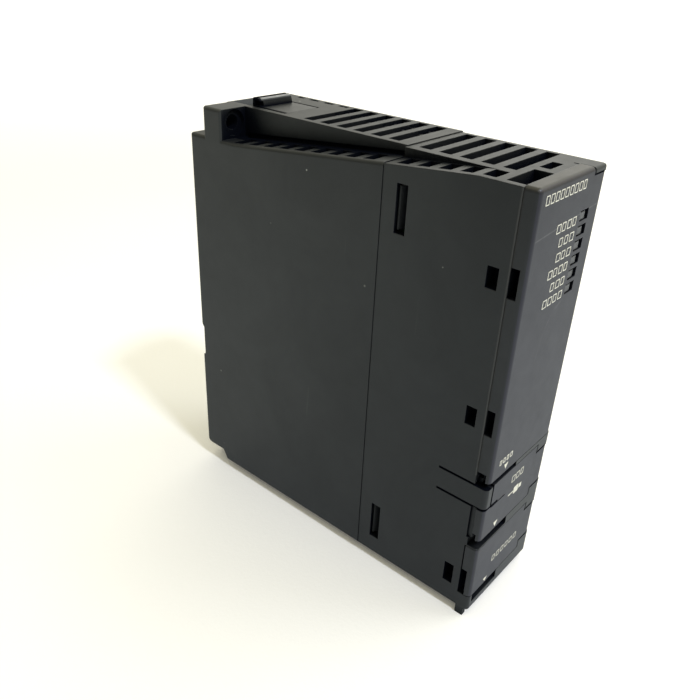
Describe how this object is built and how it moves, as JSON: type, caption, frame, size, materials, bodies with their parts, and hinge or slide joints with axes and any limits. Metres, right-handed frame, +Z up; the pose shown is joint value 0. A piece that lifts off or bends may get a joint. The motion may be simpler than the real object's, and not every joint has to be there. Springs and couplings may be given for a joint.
{
  "type": "controller_module",
  "caption": "Slim rack-mounted programmable controller module with hinged front door, port flaps, ventilated sloping top and rear fixing hook.",
  "frame": {"origin": "centre of the rear mounting face", "axes": "+Z up, -Y out of the front face, +X to the module's right side as seen from the rear rack looking at the front (right in a front view)"},
  "size_m": [0.0274, 0.0893, 0.1019],
  "materials": {
    "case_plastic": "fine moulded texture",
    "cover_plastic": "fine moulded texture",
    "board_green": "solder mask",
    "screw_steel": "zinc plated",
    "connector_plastic": "moulded",
    "contact_gold": "plated",
    "chip_black": "moulded",
    "capacitor_can": "drawn can",
    "can_steel": "tin plated",
    "light_guide": "translucent moulding",
    "led_white": "moulded",
    "button_plastic": "moulded",
    "battery_wrap": "shrink sleeve",
    "lead_red": "insulation",
    "plug_white": "moulded",
    "label_film": "printed film"
  },
  "bodies": {
    "case": {"rear_case": "case_plastic", "front_case": "case_plastic", "main_board": "board_green", "card_board": "board_green", "port_board": "board_green", "board_screws": "screw_steel", "rack_connector": "connector_plastic", "rack_connector_contacts": "contact_gold", "stacking_connector": "connector_plastic", "processor": "chip_black", "memory_chips": "chip_black", "interface_chips": "chip_black", "capacitors": "capacitor_can", "oscillator": "can_steel", "lamp_light_guide": "light_guide", "lamp_leds": "led_white", "card_socket": "connector_plastic", "card_socket_pins": "contact_gold", "mode_switch_body": "connector_plastic", "usb_socket_shell": "can_steel", "usb_socket_insert": "connector_plastic", "serial_socket_body": "connector_plastic", "serial_socket_shield": "can_steel", "serial_socket_contacts": "contact_gold", "battery_holder": "connector_plastic", "backup_battery": "battery_wrap", "battery_leads": "lead_red", "battery_plug": "plug_white", "battery_header": "plug_white", "rating_label": "label_film"},
    "door": {"front_door": "cover_plastic"},
    "usb_flap": {"usb_cover": "cover_plastic"},
    "serial_flap": {"serial_cover": "cover_plastic"},
    "hook": {"module_hook": "case_plastic"},
    "battery_flap": {"battery_cover": "case_plastic"},
    "eject": {"eject_button": "button_plastic"},
    "mode_lever": {"mode_switch_lever": "button_plastic"}
  },
  "joints": [
    {"name": "door_hinge", "type": "hinge", "parent": "case", "child": "door", "pos_m": [0.0122, -0.0879, 0.018], "axis": [0, 0, 1], "range_deg": [0, 110]},
    {"name": "usb_cover_hinge", "type": "hinge", "parent": "case", "child": "usb_flap", "pos_m": [0.0122, -0.0879, -0.021], "axis": [0, 0, 1], "range_deg": [0, 100]},
    {"name": "serial_cover_hinge", "type": "hinge", "parent": "case", "child": "serial_flap", "pos_m": [0.0122, -0.0879, -0.0376], "axis": [0, 0, 1], "range_deg": [0, 100]},
    {"name": "hook_pivot", "type": "hinge", "parent": "case", "child": "hook", "pos_m": [0.001, -0.0232, 0.0462], "axis": [-1, 0, 0], "range_deg": [0, 6]},
    {"name": "battery_cover_hinge", "type": "hinge", "parent": "case", "child": "battery_flap", "pos_m": [0, -0.0156, -0.04805], "axis": [1, 0, 0], "range_deg": [0, 90]},
    {"name": "eject_press", "type": "slide", "parent": "case", "child": "eject", "axis": [0, 1, 0], "range_m": [0, 0.0025]},
    {"name": "mode_toggle", "type": "hinge", "parent": "case", "child": "mode_lever", "pos_m": [0.0012, -0.0826, 0.013], "axis": [1, 0, 0], "range_deg": [-15, 15]}
  ]
}
